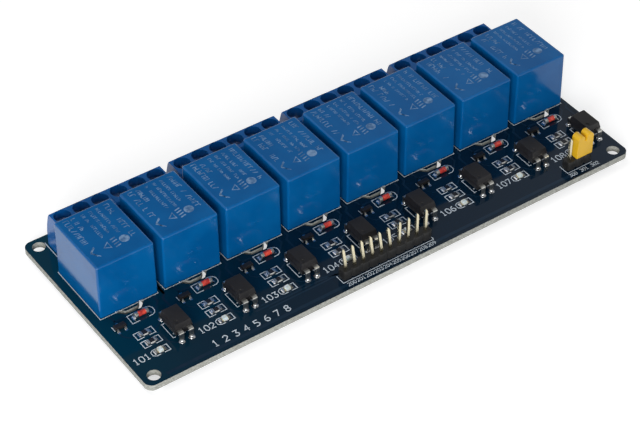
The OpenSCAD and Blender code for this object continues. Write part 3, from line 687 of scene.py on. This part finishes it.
def softened(name, node, finish, slot, radius, body="board", segments=3, sharp=30):
    """A copy of one part of the model, with its moulded or turned edges rounded off."""
    made = Shape()
    made.mesh.from_mesh(nodes[node].data)
    bmesh.ops.scale(made.mesh, vec=(1 / MM, 1 / MM, 1 / MM), verts=made.mesh.verts)
    bmesh.ops.remove_doubles(made.mesh, verts=made.mesh.verts, dist=0.002)
    bmesh.ops.dissolve_limit(made.mesh, angle_limit=math.radians(1), verts=made.mesh.verts,
                             edges=made.mesh.edges)
    edges = [edge for edge in made.mesh.edges
             if len(edge.link_faces) == 2 and edge.calc_face_angle() > math.radians(sharp)]
    bmesh.ops.bevel(made.mesh, geom=edges, offset=radius, segments=segments, profile=0.5, affect="EDGES",
                    clamp_overlap=True)
    return made.piece(name, finish, slot, body, replaces=(node,), even=True)


terminal_finish = plastic("terminal_blue", (0.0, 0.088, 0.31), 0.25, 1.15)
for k in channels:
    softened(f"terminal_housing_{k + 1}", f"terminal_block_{k + 1}", terminal_finish, "terminal_blue", 0.12)
clamp_finish = metal("clamp_plate", (0.62, 0.62, 0.57), 0.3, (1, 1, 6))
clamp_finish.on("terminal_clamps")
tin_finish.on("terminal_pins")
screw_finish = metal("screw_steel", (0.72, 0.73, 0.74), 0.22)
softened("terminal_screw_heads", "terminal_screws", screw_finish, "screw_steel", 0.09)


# ---- Optocouplers ----
# Black epoxy moulded round a lead frame, with a parting line at the leads and a dimple
# by pin one.

black_finish = plastic("black_moulding", (0.011, 0.0105, 0.0115), 0.32, 1.5, 5.0, 0.012)
for k in channels:
    softened(f"optocoupler_body_{k + 1}", f"optocoupler_{k + 1}", black_finish, "black_moulding", 0.09)
tin_finish.on("optocoupler_leads")


# ---- Driver transistors ----
# The smallest black mouldings on the board, each on three gull-wing leads.

softened("transistor_mouldings", "transistor_bodies", black_finish, "black_moulding", 0.05, segments=2)
tin_finish.on("transistor_leads")


# ---- Chip resistors ----
# White ceramic with a glazed black face on top, and plated ends.

chip_finish = Finish("resistor_face", (0.012, 0.012, 0.014), Roughness=0.25)
glazed = chip_finish.facing()[2].over(0.4, 0.7)
chip_finish.set("Base Color", chip_finish.mix(glazed, (0.6, 0.6, 0.58), (0.012, 0.012, 0.014)))
chip_finish.bump(chip_finish.grain(5, 2), 0.004)
chip_finish.on("resistor_chips")
tin_finish.on("resistor_ends")


# ---- Diodes ----
# A glass tube the colour of red amber, fused between two plated caps.

glass_finish = Finish("diode_glass", (0.36, 0.026, 0.03), Roughness=0.08, Coat_Weight=0.5)
glass_finish.set("Base Color", glass_finish.mix(glass_finish.grain(0.9, 2).over(0.3, 0.7),
                                                (0.32, 0.02, 0.02), (0.72, 0.08, 0.05)))
glass_finish.on("diode_glass")
tin_finish.on("diode_ends")


# ---- Indicator lights ----
# Milky resin over the chip, on a white carrier with gold-plated ends.

lens_finish = Finish("led_lens", (0.8, 0.8, 0.74), Roughness=0.2, Subsurface_Weight=0.3)
lens_finish.set("Base Color", lens_finish.mix(lens_finish.grain(0.8, 2).over(0.35, 0.7),
                                              (0.72, 0.72, 0.64), (0.88, 0.88, 0.84)))
softened("led_resin", "led_bodies", lens_finish, "led_lens", 0.05, segments=2)
gold_finish = metal("gold_plate", (0.72, 0.66, 0.47), 0.24, (1, 1, 0.3))
gold_finish.on("led_ends")


# ---- Pin headers ----
# Square plated pins through black strips, notched so that they snap to length.

strip_finish = plastic("header_black", (0.012, 0.012, 0.012), 0.35, 1.4)
for header in ("input_header", "power_header"):
    softened(f"{header}_strip", f"{header}_body", strip_finish, "header_black", 0.05,
             segments=2, sharp=50)
gold_finish.on("input_header_pins", "power_header_pins")


# ---- Jumper cap ----
# Yellow plastic with two rounded ears to pull it by.

jumper_finish = plastic("jumper_yellow", (0.66, 0.39, 0.015), 0.22, 1.12, 4.0)
softened("jumper_shell", "jumper_cap", jumper_finish, "jumper_yellow", 0.12, body="jumper")
bronze_finish.on("jumper_clip")


# ---- Floor, lamps and camera ----
# A pale table under soft lamps. The table and the air round it are plain white to the
# camera and in reflections, up to a dimmer ceiling, and the table keeps its shadow.

floor_mesh = bpy.data.meshes.new("floor")
floor_mesh.from_pydata([(-3, -3, -0.0001), (3, -3, -0.0001), (3, 3, -0.0001), (-3, 3, -0.0001)], [],
                       [(0, 1, 2, 3)])
floor = bpy.data.objects.new("floor", floor_mesh)
bpy.context.collection.objects.link(floor)
floor_finish = Finish("floor", (0.6, 0.6, 0.6), Roughness=0.9, Specular_IOR_Level=0.0)
lit = Tone(floor_finish, floor_finish.shader.outputs[0])
glow = floor_finish.node("ShaderNodeEmission", {}, {"Color": (1, 1, 1, 1), "Strength": 0.6})
both = floor_finish.node("ShaderNodeAddShader", {}, {0: glow, 1: lit})
shown = floor_finish.node("ShaderNodeMixShader", {}, {0: floor_finish.seen(), 1: lit, 2: both})
floor_finish.tree.links.new(shown.socket, floor_finish.tree.nodes["Material Output"].inputs[0])
floor_mesh.materials.append(floor_finish.material)

world = bpy.data.worlds.new("studio")
bpy.context.scene.world = world
world.use_nodes = True
sky = NodeTree(world.node_tree)
along, _, up = sky.axes(sky.node("ShaderNodeTexCoord", {}, {}, "Generated"))
ceiling = 0.1 + 0.38 * along.over(0.3, 0.62)
seen_level = 1 - up.over(0.2, 0.55) * (1 - ceiling)
level = 0.4 + sky.seen() * (seen_level - 0.4)
background = world.node_tree.nodes["Background"]
background.inputs["Color"].default_value = (1, 1, 1, 1)
world.node_tree.links.new(level.socket, background.inputs["Strength"])


def lamp(name, at, aim, size, power):
    data = bpy.data.lights.new(name, "AREA")
    data.shape, data.size, data.energy = "DISK", size, power
    made = bpy.data.objects.new(name, data)
    made.location = at
    made.rotation_euler = (Vector(aim) - Vector(at)).to_track_quat("-Z", "Y").to_euler()
    bpy.context.collection.objects.link(made)


lamp("front", (-0.33, -0.38, 0.2), (0, 0, 0), 0.3, 2.45)
lamp("behind", (-0.12, 0.25, 0.6), (0, 0, 0), 0.5, 0.8)

camera = bpy.data.objects.new("camera", bpy.data.cameras.new("camera"))
bpy.context.collection.objects.link(camera)
camera.data.sensor_width = 36
camera.data.lens = 118.81
camera.location = (-0.2213, -0.30755, 0.335)
camera.rotation_mode = "QUATERNION"
camera.rotation_quaternion = Vector((0.4312, 0.6100, -0.6647)).to_track_quat("-Z", "Y")
camera.data.clip_start = 0.01
bpy.context.scene.camera = camera
bpy.context.scene.view_settings.view_transform = "Standard"
